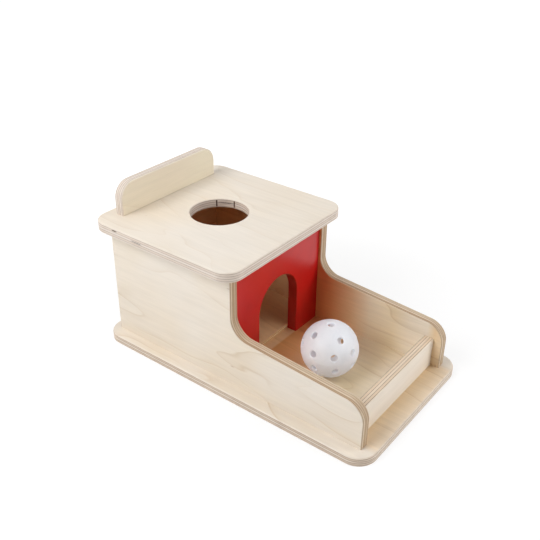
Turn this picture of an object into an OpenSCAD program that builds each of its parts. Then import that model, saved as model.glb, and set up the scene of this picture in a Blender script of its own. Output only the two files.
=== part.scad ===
// Object permanence box: a birch plywood box with a ball hole in its top board, a red arched
// doorway, a hidden ramp and an open tray, with a hollow perforated ball.
// +X runs from the box to the tray's open end, +Y across, +Z up, in millimetres.
// The origin is on the rest face, below the middle of the whole outline.

/* [Base board] */
// Length of the base board
base_l = 285; // [250:1:330]
// Width of the base board
base_w = 162.5; // [140:0.5:200]
// Thickness of the base board
base_t = 8; // [7:0.5:12]
// Corner radius of the base board
base_r = 17.5; // [4:0.5:24]
// Rim of the base board left free behind the back panel
rim_back = 8.5; // [2:0.5:20]
// Rim of the base board left free in front of the side panels
rim_front = 11; // [2:0.5:20]
// Rim of the base board left free beside each side panel
rim_side = 12; // [2:0.5:20]

/* [Side panels] */
// Thickness of the side, back, front and backstop boards
wall_t = 9; // [8:0.5:12]
// Length of the tall part, which walls the box
tall_l = 136.5; // [120:0.5:160]
// Height of the tall part above the base board
tall_h = 106.5; // [95:0.5:130]
// Height of the tray wall where it meets the tall part
low_h_back = 50; // [40:0.5:60]
// Height of the tray wall at its front end
low_h_front = 41; // [36:0.5:50]
// Radius of the hollow corner between tray wall and tall part
hollow_r = 18; // [6:0.5:24]
// Radius of the round front corner of the tray wall
nose_r = 17.5; // [6:0.5:24]

/* [Top board] */
// Thickness of the top board
top_t = 9; // [8:0.5:12]
// Overhang of the top board behind the back panel
top_over_back = 11; // [9:0.5:20]
// Overhang of the top board in front of the tall part
top_over_front = 10; // [2:0.5:20]
// Overhang of the top board beside each side panel
top_over_side = 12; // [2:0.5:20]
// Corner radius of the top board
top_r = 15.5; // [4:0.5:24]

/* [Backstop] */
// Height of the backstop above the top board
stop_h = 29.5; // [22:0.5:40]
// Distance of the backstop from the back edge of the top board
stop_setback = 10; // [4:0.5:20]
// Radius of the two upper corners of the backstop
stop_r = 15; // [4:0.5:20]

/* [Door panel] */
// Thickness of the painted door panel
door_t = 10; // [8:0.5:12]
// Depth of the door panel behind the front edges of the tall part
door_inset = 2.5; // [1:0.5:8]
// Height of the doorway from the base board to the top of its arch
arch_h = 73; // [60:0.5:85]
// Room that the doorway leaves round the ball, on the diameter
arch_room = 5; // [3:0.5:10]

/* [Tray front wall] */
// Height of the tray's front wall above the base board
front_h = 28; // [24:0.5:34]
// Distance of the front wall from the front ends of the side panels
front_setback = 8; // [2:0.5:16]

/* [Ramp] */
// Thickness of the ramp board
ramp_t = 4; // [3:0.5:6]
// Slope of the ramp board towards the doorway, in degrees
ramp_slope = 6.5; // [4:0.5:9]
// Width of the batten under the back end of the ramp
batten_w = 12; // [8:0.5:20]

/* [Ball] */
// Diameter of the ball
ball_d = 50; // [46:0.5:52]
// Wall thickness of the hollow ball
ball_wall = 1.6; // [1:0.1:3]
// Diameter of the holes in the ball
vent_d = 6; // [4:0.1:7]
// Room that the hole in the top board leaves round the ball, on the diameter
drop_room = 2.5; // [1:0.5:8]
// Place of the resting ball between the door panel and the front wall, as a share of the way
ball_ahead_share = 0.5066; // [0.4:0.01:0.6]
// Distance of the resting ball's middle from the middle line, towards the left side panel
ball_aside = 4; // [0:0.5:8]

/* [Fixings] */
// Diameter of the wooden dowels
dowel_d = 6; // [4:0.5:6]
// Length of the wooden dowels
dowel_l = 24; // [18:0.5:30]
// Depth to which a dowel enters the face of a board
dowel_in = 6; // [4:0.5:7]
// Diameter of the countersunk screws
screw_d = 3.5; // [3:0.1:4]
// Length of the countersunk screws with their heads
screw_l = 25; // [20:0.5:30]
// Diameter of the screw heads
head_d = 7; // [6:0.1:8]
// Diameter of the panel pins
pin_d = 1.4; // [1:0.1:2]
// Length of the panel pins
pin_l = 12; // [9:0.5:14]

/* [Hidden] */
$fn = 96;

// Shared working values
cut = 1;
glue_gap = 0.1;
end_gap = 0.4;
seat_gap = 0.3;

// Colours of the finishes
birch = "#E6D8BE";
beech = "#D9B98C";
red_paint = "#B5201F";
white_plastic = "#ECECEF";
zinc = "#C4C6C8";

// Places along the length, from back to front
top_proud = max(0, top_over_back - rim_back);
base_x0 = top_proud - (base_l + top_proud) / 2;
base_x1 = base_x0 + base_l;
side_x0 = base_x0 + rim_back;
side_x1 = base_x1 - rim_front;
side_l = side_x1 - side_x0;
tall_x1 = side_x0 + tall_l;
back_x1 = side_x0 + wall_t;
door_x1 = tall_x1 - door_inset;
door_x0 = door_x1 - door_t;
top_x0 = side_x0 - top_over_back;
top_x1 = tall_x1 + top_over_front;
stop_x0 = top_x0 + stop_setback;
front_x1 = side_x1 - front_setback;
front_x0 = front_x1 - wall_t;
chamber_x = (back_x1 + door_x0) / 2;

// Places across the width
outer_w = base_w - 2 * rim_side;
inner_w = outer_w - 2 * wall_t;
top_w = outer_w + 2 * top_over_side;

// Heights
wall_top = base_t + tall_h;
top_z1 = wall_top + top_t;

// Openings
drop_d = ball_d + drop_room;
arch_w = ball_d + arch_room;
arch_spring = arch_h - arch_w / 2;

// Ramp, which rises from the door panel back to the back panel
ramp_l = door_x0 - back_x1;
ramp_lip = ramp_t / cos(ramp_slope);
ramp_rise = ramp_l * tan(ramp_slope);
pin_count = 3;
pin_spread_share = 0.62;
pin_head_d = 2 * pin_d;
pin_head_t = pin_d / 2;

// Ball, where it rests in the tray
ball_x = door_x1 + ball_ahead_share * (front_x0 - door_x1);
ball_y = -ball_aside;
ball_z = base_t + seat_gap + ball_d / 2;
// Each ring of holes: how many, degrees above the ball's middle, and degrees turned about +Z. The
// lower half is welded on 4 degrees out of line with the upper one.
vent_rings = [[1, 90, 0], [4, 49, 67.5], [8, 16, 0], [8, -16, 4], [4, -49, 26.5], [1, -90, 0]];
vent_turn = -3.3;

// Dowels: bores are wider than the dowel by the glue gap and deeper by the end gap
bore_d = dowel_d + 2 * glue_gap;
dowel_out = dowel_l - dowel_in;
top_dowel_margin_share = 0.16;
top_dowel_count = 3;
back_dowel_share = 0.17;
door_dowel_share = 0.3;
stop_dowel_share = 0.33;
row_count = 3;
row_z0 = screw_l + dowel_d;
row_z1 = wall_top - dowel_out - dowel_d;
front_row_z = base_t + front_h / 2;

// Screws: along each side panel, and two each in the back panel, door panel and front wall
screw_margin = 24;
screw_count = 4;
cross_screw_share = 0.25;
door_screw_y = (arch_w + inner_w) / 4;
head_t = (head_d - screw_d) / 2;
head_sink = 0.4;
recess_d = head_d / 2;
recess_t = 1.2;
tip_l = screw_d;

// Evenly spaced value number i of n from a to b
function spaced(a, b, i, n) = a + (b - a) * i / (n - 1);

// Where each group of dowels and screws stands: [x, y] in plan
top_side_places = [for (s = [-1, 1], i = [0 : top_dowel_count - 1])
    [spaced(side_x0 + tall_l * top_dowel_margin_share, tall_x1 - tall_l * top_dowel_margin_share,
        i, top_dowel_count), s * (outer_w - wall_t) / 2]];
top_back_places = [for (s = [-1, 1]) [side_x0 + wall_t / 2, s * back_dowel_share * inner_w]];
top_door_places = [for (s = [-1, 1]) [door_x0 + door_t / 2, s * door_dowel_share * inner_w]];
top_places = concat(top_side_places, top_back_places, top_door_places);
stop_places = [for (i = [-1 : 1]) [stop_x0 + wall_t / 2, i * stop_dowel_share * inner_w]];
side_screws = [for (s = [-1, 1], i = [0 : screw_count - 1])
    [spaced(side_x0 + screw_margin, side_x1 - screw_margin, i, screw_count),
        s * (outer_w - wall_t) / 2]];
back_screws = [for (s = [-1, 1]) [side_x0 + wall_t / 2, s * cross_screw_share * inner_w]];
door_screws = [for (s = [-1, 1]) [door_x0 + door_t / 2, s * door_screw_y]];
front_screws = [for (s = [-1, 1]) [front_x0 + wall_t / 2, s * cross_screw_share * inner_w]];
screw_places = concat(side_screws, back_screws, door_screws, front_screws);
row_heights = [for (i = [0 : row_count - 1]) spaced(row_z0, row_z1, i, row_count)];

// Flat outlines

// A rectangle from [x0, -w/2] to [x1, w/2] with four round corners
module round_rectangle(x0, x1, w, r) {
    translate([x0 + r, -w / 2])
        square([x1 - x0 - 2 * r, w]);
    translate([x0, -w / 2 + r])
        square([x1 - x0, w - 2 * r]);
    for (x = [x0 + r, x1 - r], y = [-w / 2 + r, w / 2 - r])
        translate([x, y])
            circle(r);
}

// Side panel seen from the side: x from its back end, y up from the base board.
// The tray wall's top edge slopes down from the hollow corner to the round nose.
module side_outline() {
    slope = atan((low_h_back - low_h_front) / (side_l - tall_l));
    hollow_x = tall_l + hollow_r;
    hollow_y = low_h_back - hollow_r * tan(slope) + hollow_r / cos(slope);
    nose_x = side_l - nose_r;
    nose_y = low_h_back - (nose_x - tall_l) * tan(slope) - nose_r / cos(slope);
    difference() {
        union() {
            polygon([[0, 0], [side_l, 0], [side_l, nose_y], [nose_x, nose_y],
                [nose_x + nose_r * sin(slope), nose_y + nose_r * cos(slope)],
                [hollow_x - hollow_r * sin(slope), hollow_y - hollow_r * cos(slope)],
                [hollow_x, hollow_y], [tall_l, hollow_y], [tall_l, tall_h], [0, tall_h]]);
            translate([nose_x, nose_y])
                circle(nose_r);
        }
        translate([hollow_x, hollow_y])
            circle(hollow_r);
    }
}

// Backstop seen from the tray: x across, y up from the top board
module stop_outline() {
    intersection() {
        translate([-inner_w / 2, 0])
            square([inner_w, stop_h]);
        union() {
            translate([-inner_w / 2, 0])
                square([inner_w, stop_h - stop_r]);
            translate([-inner_w / 2 + stop_r, 0])
                square([inner_w - 2 * stop_r, stop_h]);
            for (s = [-1, 1])
                translate([s * (inner_w / 2 - stop_r), stop_h - stop_r])
                    circle(stop_r);
        }
    }
}

// Doorway seen from the tray: x across, y up from the base board
module arch_outline() {
    translate([-arch_w / 2, -cut])
        square([arch_w, arch_spring + cut]);
    translate([0, arch_spring])
        circle(d = arch_w);
}

// Fixings

// A dowel or its bore, standing up from z = -below to z = above
module peg(d, below, above) {
    translate([0, 0, -below])
        cylinder(h = below + above, d = d);
}

// A dowel that crosses the inner face of both side panels at one x and height
module cross_pegs(x, z, d, into, out) {
    for (s = [-1, 1])
        translate([x, s * inner_w / 2, z])
            rotate([-s * 90, 0, 0])
                peg(d, out, into);
}

// Every bore that the side panels share, with the dowels' end gap
module side_bores() {
    for (x = [side_x0 + wall_t / 2, door_x0 + door_t / 2], z = row_heights)
        cross_pegs(x, z, bore_d, dowel_in + end_gap, dowel_out + end_gap);
    cross_pegs(front_x0 + wall_t / 2, front_row_z, bore_d, dowel_in + end_gap, dowel_out + end_gap);
}

// Bores for the dowels between the top board and the walls under it
module top_bores() {
    for (p = top_places)
        translate([p[0], p[1], wall_top])
            peg(bore_d, dowel_out + end_gap, dowel_in + end_gap);
}

// Bores for the dowels between the top board and the backstop
module stop_bores() {
    for (p = stop_places)
        translate([p[0], p[1], top_z1])
            peg(bore_d, dowel_in + end_gap, dowel_out + end_gap);
}

// Pilot bores for the screws' shanks and countersinks for their heads, from below
module screw_bores() {
    for (p = screw_places)
        translate([p[0], p[1], 0]) {
            cylinder(h = screw_l + head_sink + end_gap, d = screw_d + 2 * glue_gap);
            translate([0, 0, -cut])
                cylinder(h = cut + head_sink, d = head_d + 2 * glue_gap);
            translate([0, 0, head_sink])
                cylinder(h = head_t, d1 = head_d + 2 * glue_gap, d2 = screw_d + 2 * glue_gap);
        }
}

// A countersunk wood screw standing on its head, with a hex recess and a pointed tip
module screw() {
    difference() {
        union() {
            cylinder(h = head_t, d1 = head_d, d2 = screw_d);
            cylinder(h = screw_l - tip_l, d = screw_d);
            translate([0, 0, screw_l - tip_l])
                cylinder(h = tip_l, d1 = screw_d, d2 = 0);
        }
        translate([0, 0, -cut])
            cylinder(h = cut + recess_t, d = recess_d, $fn = 6);
    }
}

// Places its children square to the ramp's top face above the middle of the batten
module at_pins() {
    for (i = [0 : pin_count - 1])
        translate([back_x1 + batten_w / 2, spaced(-1, 1, i, pin_count) * pin_spread_share * inner_w / 2,
            base_t + ramp_lip + ramp_rise - batten_w / 2 * tan(ramp_slope)])
            rotate([0, ramp_slope, 0])
                children();
}

// A panel pin or its bore, reaching down from the ramp's top face. The bore passes that face by above.
module pin(gap, above) {
    translate([0, 0, -pin_l - gap])
        cylinder(h = pin_l + gap, d = pin_d + 2 * gap);
    translate([0, 0, -pin_head_t - gap])
        cylinder(h = pin_head_t + gap + above, d = pin_head_d + 2 * gap);
}

// Boards

module base_board() {
    color(birch)
        difference() {
            linear_extrude(base_t)
                round_rectangle(base_x0, base_x1, base_w, base_r);
            screw_bores();
        }
}

// One side panel, on the left for side = -1 and on the right for side = 1
module side_panel(side) {
    color(birch)
        difference() {
            translate([side_x0, side * outer_w / 2 + (side > 0 ? 0 : wall_t), base_t])
                rotate([90, 0, 0])
                    linear_extrude(wall_t)
                        side_outline();
            side_bores();
            top_bores();
            screw_bores();
        }
}

module left_side_panel() {
    side_panel(-1);
}

module right_side_panel() {
    side_panel(1);
}

module back_panel() {
    color(birch)
        difference() {
            translate([side_x0, -inner_w / 2, base_t])
                cube([wall_t, inner_w, tall_h]);
            side_bores();
            top_bores();
            screw_bores();
        }
}

module top_board() {
    color(birch)
        difference() {
            translate([0, 0, wall_top])
                linear_extrude(top_t)
                    round_rectangle(top_x0, top_x1, top_w, top_r);
            translate([chamber_x, 0, wall_top - cut])
                cylinder(h = top_t + 2 * cut, d = drop_d);
            top_bores();
            stop_bores();
        }
}

module backstop() {
    color(birch)
        difference() {
            translate([stop_x0, 0, top_z1])
                rotate([90, 0, 90])
                    linear_extrude(wall_t)
                        stop_outline();
            stop_bores();
        }
}

module door_panel() {
    color(red_paint)
        difference() {
            translate([door_x0, 0, base_t])
                rotate([90, 0, 90])
                    linear_extrude(door_t)
                        difference() {
                            translate([-inner_w / 2, 0])
                                square([inner_w, tall_h]);
                            arch_outline();
                        }
            side_bores();
            top_bores();
            screw_bores();
        }
}

module tray_front_wall() {
    color(birch)
        difference() {
            translate([front_x0, -inner_w / 2, base_t])
                cube([wall_t, inner_w, front_h]);
            side_bores();
            screw_bores();
        }
}

module ramp_board() {
    color(birch)
        difference() {
            translate([back_x1, inner_w / 2, base_t])
                rotate([90, 0, 0])
                    linear_extrude(inner_w)
                        polygon([[0, ramp_rise], [ramp_l, 0], [ramp_l, ramp_lip],
                            [0, ramp_rise + ramp_lip]]);
            at_pins()
                pin(glue_gap, cut);
        }
}

module ramp_batten() {
    color(beech)
        difference() {
            translate([back_x1, inner_w / 2, base_t])
                rotate([90, 0, 0])
                    linear_extrude(inner_w)
                        polygon([[0, 0], [batten_w, 0],
                            [batten_w, ramp_rise - batten_w * tan(ramp_slope)], [0, ramp_rise]]);
            at_pins()
                pin(glue_gap, cut);
        }
}

// The ball: a hollow sphere with a hole at each pole and four rings of holes between them
module ball() {
    color(white_plastic)
        translate([ball_x, ball_y, ball_z])
            difference() {
                rotate([90, 0, 0])
                    sphere(d = ball_d);
                rotate([90, 0, 0])
                    sphere(d = ball_d - 2 * ball_wall);
                for (ring = vent_rings, i = [0 : ring[0] - 1])
                    rotate([0, 0, vent_turn + ring[2] + i * 360 / ring[0]])
                        rotate([0, 90 - ring[1], 0])
                            translate([0, 0, ball_d / 2 - ball_wall - cut])
                                cylinder(h = ball_wall + 2 * cut, d = vent_d);
            }
}

// Groups of fixings

module top_dowels() {
    color(beech)
        for (p = top_places)
            translate([p[0], p[1], wall_top])
                peg(dowel_d, dowel_out, dowel_in);
}

module backstop_dowels() {
    color(beech)
        for (p = stop_places)
            translate([p[0], p[1], top_z1])
                peg(dowel_d, dowel_in, dowel_out);
}

module back_panel_dowels() {
    color(beech)
        for (z = row_heights)
            cross_pegs(side_x0 + wall_t / 2, z, dowel_d, dowel_in, dowel_out);
}

module door_panel_dowels() {
    color(beech)
        for (z = row_heights)
            cross_pegs(door_x0 + door_t / 2, z, dowel_d, dowel_in, dowel_out);
}

module front_wall_dowels() {
    color(beech)
        cross_pegs(front_x0 + wall_t / 2, front_row_z, dowel_d, dowel_in, dowel_out);
}

module base_screws() {
    color(zinc)
        for (p = screw_places)
            translate([p[0], p[1], head_sink])
                screw();
}

module ramp_pins() {
    color(zinc)
        at_pins()
            pin(0, 0);
}

base_board();
left_side_panel();
right_side_panel();
back_panel();
top_board();
backstop();
door_panel();
tray_front_wall();
ramp_board();
ramp_batten();
ball();
top_dowels();
backstop_dowels();
back_panel_dowels();
door_panel_dowels();
front_wall_dowels();
base_screws();
ramp_pins();
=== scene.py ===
"""Looks of an object permanence box: birch plywood, a ball hole, a red arched doorway and a tray.

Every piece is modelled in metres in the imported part's own frame and rides on one of its bodies.
The name of a length in a class ends in its unit, and MM turns millimetres into metres.
"""
import logging
import math
from collections.abc import Callable, Iterable, Iterator, Mapping, Sequence
from contextlib import contextmanager
from dataclasses import dataclass, field
from enum import Enum
from typing import Any

import bmesh
import bpy
from bmesh.types import BMEdge, BMFace
from bpy.types import Material, Node, NodeSocket, NodeTree, Object
from mathutils import Euler, Matrix, Vector


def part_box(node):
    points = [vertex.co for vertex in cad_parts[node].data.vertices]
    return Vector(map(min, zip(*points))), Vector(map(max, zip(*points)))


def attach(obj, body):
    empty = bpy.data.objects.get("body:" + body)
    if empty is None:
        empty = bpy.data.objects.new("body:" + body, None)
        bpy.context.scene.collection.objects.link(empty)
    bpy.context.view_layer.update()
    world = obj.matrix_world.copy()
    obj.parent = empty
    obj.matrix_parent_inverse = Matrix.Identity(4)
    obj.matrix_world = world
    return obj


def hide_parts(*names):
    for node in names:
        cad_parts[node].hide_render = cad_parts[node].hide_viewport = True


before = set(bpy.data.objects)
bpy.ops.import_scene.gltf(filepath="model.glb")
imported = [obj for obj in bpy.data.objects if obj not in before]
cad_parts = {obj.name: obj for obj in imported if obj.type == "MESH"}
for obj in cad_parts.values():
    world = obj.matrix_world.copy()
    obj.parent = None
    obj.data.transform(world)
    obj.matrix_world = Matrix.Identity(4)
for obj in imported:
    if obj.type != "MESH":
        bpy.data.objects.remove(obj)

log = logging.getLogger("object_permanence_box")

MM = 0.001
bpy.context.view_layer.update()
X, Y, Z = range(3)

# Places closer than this are the same, a cutter goes this far past what it cuts, and a face looks along
# an axis when its normal reaches this far along it
TOUCH = 0.01 * MM
OVERRUN = 10 * MM
FACING = 0.9

# How many faces a rounding gets, by how large it is
CORNER_STEPS = 14
RIM_STEPS = 4
SOFT_STEPS = 3
ARRIS_STEPS = 2

Stops = tuple[tuple[float, float], ...]
EdgeTest = Callable[[BMEdge], bool]


class Lie(Enum):
    """How a board lies: the axes along its face grain, across that grain and through its thickness."""

    FLAT = (X, Y, Z)
    SIDE = (X, Z, Y)
    CROSS = (Y, Z, X)


class Edge(Enum):
    """How a board's cut edges came out of sanding: the colours of long grain, end grain and glue."""

    PALE = ("#E6DBD0", "#DFD1C3", "#9A8070")
    PLAIN = ("#E7DACB", "#D6C3AF", "#85644E")
    TAN = ("#D8C6AC", "#B59A7B", "#80604A")
    LINED = ("#E2D1BB", "#DDC9B0", "#5E3E28")
    BARE = ("#EBCFA4", "#DDB98A", "#8E6446")


class Part(Enum):
    """What of a mesh an edit selects, by the name that edit mode has for it."""

    EDGES = "EDGE"
    FACES = "FACE"


# Materials in general


def linear(colour: str) -> tuple[float, float, float, float]:
    """Turns an sRGB hex colour into Blender's linear values.

    Args:
        colour: The colour as "#RRGGBB".

    Returns:
        Linear red, green and blue, and a full alpha.
    """
    shares = [int(colour[i:i + 2], 16) / 255 for i in (1, 3, 5)]
    red, green, blue = (s / 12.92 if s <= 0.04045 else ((s + 0.055) / 1.055) ** 2.4 for s in shares)
    return red, green, blue, 1.0


def add_node(
    tree: NodeTree,
    kind: str,
    inputs: Mapping[str, Any] | Sequence[Any] = (),
    stops: Iterable[tuple[float, float | str]] = (),
    **settings: Any,
) -> Node:
    """Adds a node with its settings, and sets or links its inputs.

    Args:
        tree: The node tree that gets the node.
        kind: The node's type without "ShaderNode" in front.
        inputs: What the inputs in use get, by name or in order: an output socket, another node, which
            stands for its first output in use, or a value.
        stops: Positions on a colour ramp in rising order, each with a grey level or an sRGB hex colour.
        **settings: The node's own settings, such as its operation.

    Returns:
        The new node.
    """
    node = tree.nodes.new("ShaderNode" + kind)
    for name, value in settings.items():
        setattr(node, name, value)
    in_use = [socket for socket in node.inputs if socket.enabled]
    given = inputs.items() if isinstance(inputs, Mapping) else enumerate(inputs)
    for key, value in given:
        socket = in_use[key] if isinstance(key, int) else node.inputs[key]
        if isinstance(value, Node):
            value = next(output for output in value.outputs if output.enabled)
        if isinstance(value, NodeSocket):
            tree.links.new(value, socket)
        else:
            socket.default_value = value
    for number, (position, level) in enumerate(stops):
        ramp = node.color_ramp.elements
        stop = ramp[number] if number < 2 else ramp.new(position)
        stop.position = position
        stop.color = linear(level) if isinstance(level, str) else (level, level, level, 1.0)
    return node


def new_material(name: str) -> tuple[Material, NodeTree, NodeSocket]:
    """Makes a material whose tree holds only its coordinates.

    Args:
        name: The material's name.

    Returns:
        The material, its node tree and the output with the place on the object, in metres.
    """
    material = bpy.data.materials.new(name)
    material.use_nodes = True
    tree = material.node_tree
    tree.nodes.clear()
    return material, tree, add_node(tree, "TexCoord").outputs["Object"]


def add_mottle(tree: NodeTree, place: NodeSocket, size_mm: float, stops: Stops, colours: tuple[str, str],
               **noise: float) -> tuple[Node, Node]:
    """Adds a colour that drifts between two others in soft patches.

    Args:
        tree: The node tree.
        place: The output with the place on the object.
        size_mm: About how wide the patches are.
        stops: Levels of the noise, each with the share of the second colour there.
        colours: The two colours, in sRGB hex.
        **noise: The noise's other inputs.

    Returns:
        The noise and the colour.
    """
    patches = add_node(tree, "TexNoise", {"Vector": place, "Scale": 1 / (size_mm * MM), **noise})
    share = add_node(tree, "ValToRGB", [patches], stops=stops)
    return patches, add_node(tree, "Mix", [share, *map(linear, colours)], data_type="RGBA")


def add_skin(tree: NodeTree, colour: Node, roughness: Node | float, relief: Node, depth_mm: float,
             strength: float, **more: float) -> Node:
    """Adds a shader with a fine relief.

    Args:
        tree: The node tree.
        colour: Its colour.
        roughness: Its roughness.
        relief: The height of its relief, from 0 to 1.
        depth_mm: How deep the relief is.
        strength: How strongly the relief shows.
        **more: Other inputs of the shader, with underlines for the spaces in their names.

    Returns:
        The shader.
    """
    bump = add_node(tree, "Bump", {"Strength": strength, "Distance": depth_mm * MM, "Height": relief})
    return add_node(tree, "BsdfPrincipled", {
        "Base Color": colour, "Roughness": roughness, "Normal": bump,
        **{name.replace("_", " "): value for name, value in more.items()}})


# Finishes


@dataclass(frozen=True)
class Sheet:
    """Where a board lies in its sheet of plywood.

    The depth is counted from the face at the lower end of the thickness axis, and the glue lines lie at
    shares of it. A crossband of 1 is a ply that runs straight across the others, and shows that fully.
    """

    name: str
    lie: Lie
    foot_mm: tuple[float, float, float]
    thickness_mm: float
    glue_lines: tuple[float, ...] = (0.15, 0.38, 0.62, 0.85)
    crossbands: tuple[float, ...] = (1.0, 1.0)
    tilt: float = 0.0
    seed: float = 0.0
    veneer: str = "#ECE3D7"
    figure: float = 0.8
    # How much of the painted shade inside, and of its stronger grain, this board takes
    bared: float = 1.0
    edge: Edge = Edge.PLAIN


@dataclass(frozen=True)
class BirchPlywood:
    """Birch plywood: rotary-cut veneers glued crosswise, sanded and sealed with a clear matt varnish.

    The faces are pale cream with a faint wavy figure. Inside the box and the tray, and on the strip before
    the tray, shade is painted into the veneer: it is tinted darker and warmer there, as painted shade, and
    reddest just before the doorway, as painted red light from the door. The edges show five plies in turn
    as end grain and long grain, with thin brown glue lines between them.
    """

    veneer_warm: str = "#E9DAC4"
    figure: str = "#DBCBB3"
    fleck: str = "#A8845E"
    # A core gap's faces are painted near black-brown as painted shade of a deep hollow, mottled lighter
    gap: str = "#2E2018"
    gap_shade_mottle: str = "#6A503C"
    seed_shift_mm: tuple[float, float] = (317.0, 139.0)
    patch_mm: float = 90.0
    warm_stops: Stops = ((0.35, 0.0), (0.7, 0.7))

    # The figure: how large its hills are, how its lines lie on them, and where they come and go
    figure_along_mm: float = 190.0
    figure_across_mm: float = 60.0
    figure_depth_share: float = 0.25
    figure_waves: float = 4.5
    figure_gap_mm: float = 40.0
    figure_lean: float = 0.16
    figure_stops: Stops = ((0.0, 0.0), (0.025, 1.0), (0.07, 0.4), (0.22, 0.08), (1.0, 0.0))
    figure_fade_scale: float = 2.1
    figure_fade_stops: Stops = ((0.38, 0.12), (0.62, 1.0))

    # Streaks and fibres, and how far they darken and lighten the colour about their middle level
    streak_along_mm: float = 60.0
    streak_across_mm: float = 4.5
    streak_share: float = 0.55
    fibre_along_mm: float = 28.0
    fibre_across_mm: float = 0.9
    grain_level: float = 0.52
    grain_depth: float = 0.26
    inside_grain_depth: float = 0.14

    # Flecks: how far apart they could be, and in what share of those places there is none
    fleck_mm: float = 17.0
    fleck_along_share: float = 0.35
    fleck_stops: Stops = ((0.02, 1.0), (0.055, 0.0))
    fleck_absence: float = 0.72
    fleck_strength: float = 0.45

    # Glue lines: their profile in half widths, how they fade in places, and how the plies wander
    glue_line_mm: float = 0.3
    glue_stops: Stops = ((-1.8, 0.0), (-0.8, 1.0), (0.8, 1.0), (1.8, 0.0))
    glue_fade_per_mm: float = 0.09
    glue_fade_stops: Stops = ((0.32, 0.6), (0.66, 0.95))
    glue_sink: float = 0.8
    wander_mm: float = 0.3
    wander_per_mm: float = 0.016

    # The varnish: its roughness on the faces, and what end grain and fibres add
    roughness: float = 0.43
    end_grain_roughness: float = 0.16
    fibre_roughness: float = 0.12
    relief_mm: float = 0.06

    # The painted shade inside the box, the tray and the strip before it: where it begins along the box and
    # in height, where it ends along the box, half its width and its upper end, and the painted shade's tint
    # at places along the box, darkest and reddest just before the door and darker again at the tray wall's
    # foot
    inside_from_mm: tuple[float, float] = (-124.1, 7.9)
    inside_to_mm: tuple[float, float, float] = (144.0, 64.0, 114.8)
    inside_edge_mm: float = 3.0
    shade_tint_at_mm: tuple[tuple[float, str], ...] = (
        (-124.1, "#FFDDB5"), (0.0, "#FFDDB5"), (1.2, "#F0B87F"), (18.0, "#F8C593"), (40.0, "#FCE0BC"),
        (60.0, "#FFFBEA"), (85.0, "#FFF9E4"), (100.0, "#FFFDF4"), (118.0, "#FFFEF8"), (125.0, "#FBE8C9"),
        (144.0, "#FEF6EC"))

    def material(self, sheet: Sheet) -> Material:
        """Makes the material of one board.

        Args:
            sheet: Where the board lies in its sheet of plywood.

        Returns:
            The board's material.
        """
        material, tree, place = new_material(f"birch_plywood_{sheet.name}")
        order = sheet.lie.value
        shift = Vector((0, 0, 0))
        shift[order[0]], shift[order[1]] = (length * sheet.seed for length in self.seed_shift_mm)
        foot = Euler((0, sheet.tilt, 0)).to_matrix() @ Vector(sheet.foot_mm)
        placed = add_node(tree, "Mapping", {"Vector": place, "Location": shift - foot,
                                            "Rotation": (0, sheet.tilt, 0), "Scale": [1 / MM] * 3})
        split = add_node(tree, "SeparateXYZ", [placed])
        board = add_node(tree, "CombineXYZ", [split.outputs[i] for i in order])
        facing = add_node(tree, "VectorMath", [place.node.outputs["Normal"]], operation="ABSOLUTE")
        normals = add_node(tree, "SeparateXYZ", [facing])
        face_along, face_across, face_depth = (normals.outputs[i] for i in order)
        glue, crosswise = self.plies(tree, board, split.outputs[order[2]], sheet)
        fibre, grain = self.grain(tree, board, crosswise)

        # End grain shows where a ply's own grain meets the surface
        end = add_node(tree, "Mix", [crosswise, face_along, face_across])
        side = add_node(tree, "Math", [1.0, face_depth], operation="SUBTRACT", use_clamp=True)

        # Colour: veneer, warm patches, the painted shade inside, figure and flecks, then the sanded edge
        patch = add_node(tree, "TexNoise", {"Vector": board, "Scale": 1 / self.patch_mm, "Detail": 2.0})
        warm = add_node(tree, "ValToRGB", [patch], stops=self.warm_stops)
        colour = add_node(tree, "Mix", [warm, linear(sheet.veneer), linear(self.veneer_warm)],
                          data_type="RGBA")
        # Painted shade: inside the box and the tray the colour is tinted darker and warmer, reddest by the
        # doorway
        inside, shade_tint = self.inside(tree, place)
        bare = add_node(tree, "Math", [inside, sheet.bared], operation="MULTIPLY")
        long_grain, end_grain, glue_colour = map(linear, sheet.edge.value)
        for share, layer, blend in (
            (bare, shade_tint, "MULTIPLY"),
            (self.figure_lines(tree, board, sheet.figure), linear(self.figure), "MULTIPLY"),
            (self.flecks(tree, board), linear(self.fleck), "MIX"),
            (side, long_grain, "MIX"),
            (end, end_grain, "MIX"),
        ):
            colour = add_node(tree, "Mix", [share, colour, layer], data_type="RGBA", blend_type=blend)

        # The fibres darken and lighten it, more where shade is painted inside, and the glue lines lie over
        # them
        depth = add_node(tree, "Math", [bare, self.inside_grain_depth, self.grain_depth],
                         operation="MULTIPLY_ADD")
        centred = add_node(tree, "Math", [grain, self.grain_level], operation="SUBTRACT")
        tone = add_node(tree, "Math", [centred, depth, 1.0], operation="MULTIPLY_ADD")
        fibred = add_node(tree, "VectorMath", [colour, tone], operation="SCALE")
        uneven = add_node(tree, "TexNoise", {"Vector": board, "Scale": self.glue_fade_per_mm,
                                             "Detail": 2.0})
        glue_fade = add_node(tree, "ValToRGB", [uneven], stops=self.glue_fade_stops)
        glue_share = add_node(tree, "Math", [glue, glue_fade], operation="MULTIPLY")
        colour = add_node(tree, "Mix", [glue_share, fibred, glue_colour], data_type="RGBA")

        # The varnish lies matt on the faces and soaks into the end grain
        dull = add_node(tree, "Math", [end, self.end_grain_roughness, self.roughness],
                        operation="MULTIPLY_ADD")
        gloss = add_node(tree, "Math", [fibre, self.fibre_roughness, dull], operation="MULTIPLY_ADD")
        relief = add_node(tree, "Math", [glue_share, -self.glue_sink, fibre], operation="MULTIPLY_ADD")
        shader = add_skin(tree, colour, gloss, relief, self.relief_mm, strength=0.35, IOR=1.5,
                          Specular_IOR_Level=0.4)
        add_node(tree, "OutputMaterial", [shader])
        return material

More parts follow.
